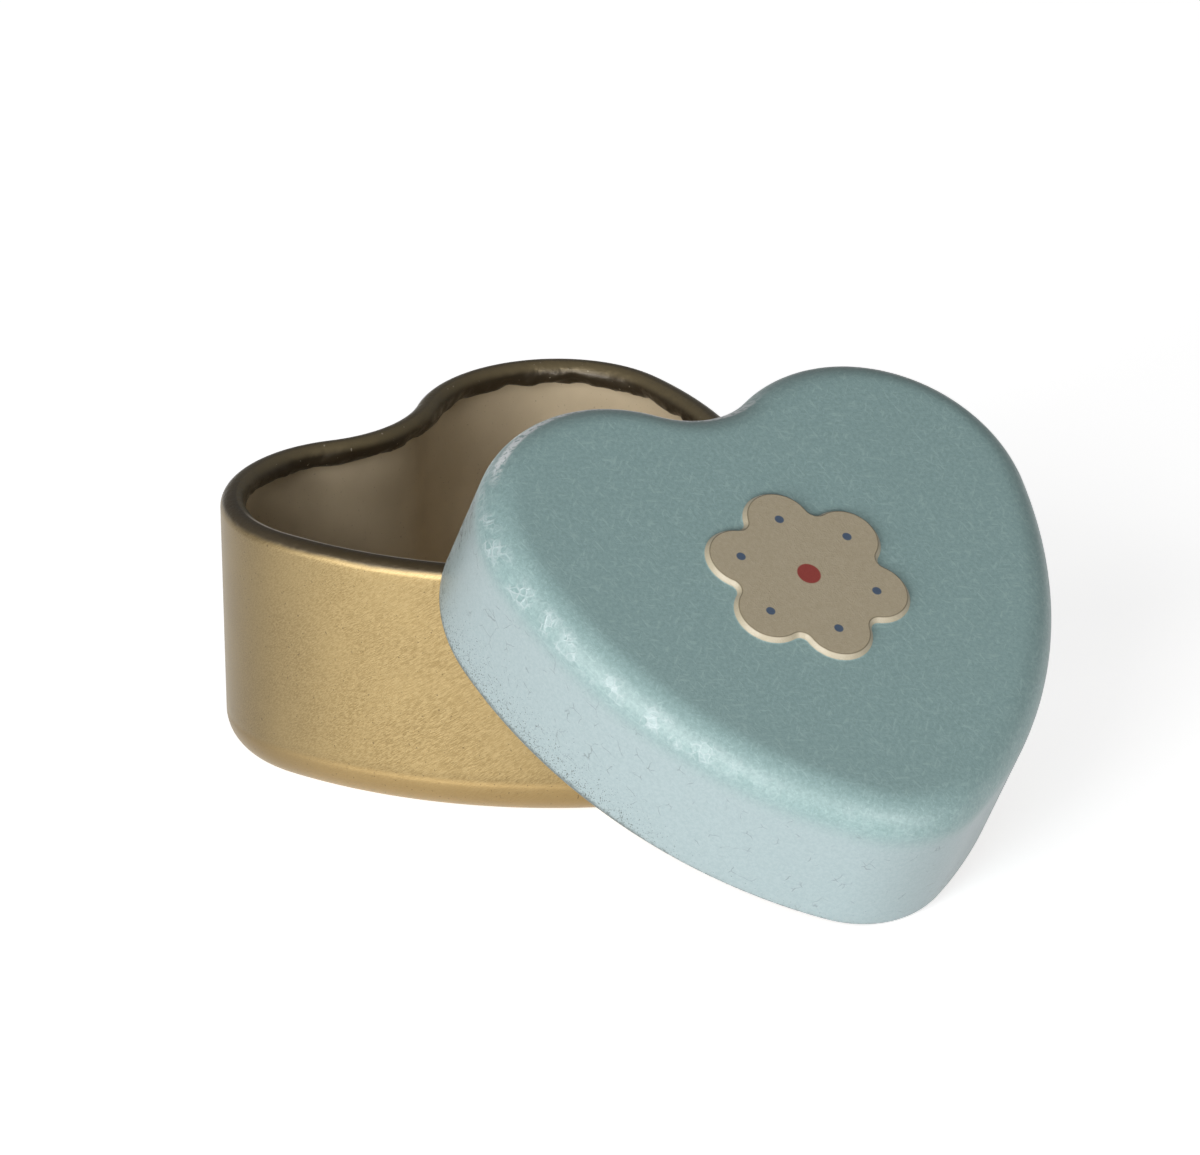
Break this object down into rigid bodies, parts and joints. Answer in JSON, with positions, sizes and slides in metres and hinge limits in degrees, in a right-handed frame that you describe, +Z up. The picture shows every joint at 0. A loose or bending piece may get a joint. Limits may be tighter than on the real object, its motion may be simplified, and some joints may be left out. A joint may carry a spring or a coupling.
{
  "type": "heart keepsake tin",
  "caption": "Small heart-shaped lift-lid keepsake tin in drawn tinplate, with rolled edges and a rosette pressed into its leaning lid.",
  "frame": {"origin": "on the tin's flat underside, at the middle of the tin's length and width", "axes": "+Z up, +Y from the heart's tip to its notch, +X to the right seen from the tip"},
  "size_m": [0.0606, 0.0913, 0.0427],
  "materials": {
    "gold_lacquer": "satin gold lacquer on tinplate",
    "blue_enamel": "satin pale blue enamel on tinplate"
  },
  "bodies": {
    "tin": {"tin_body": "gold_lacquer"},
    "lid": {"lid": "blue_enamel"}
  },
  "joints": [
    {"name": "lid_lift", "type": "slide", "parent": "tin", "child": "lid", "axis": [0, 0, 1], "range_m": [0, 0.04]}
  ]
}
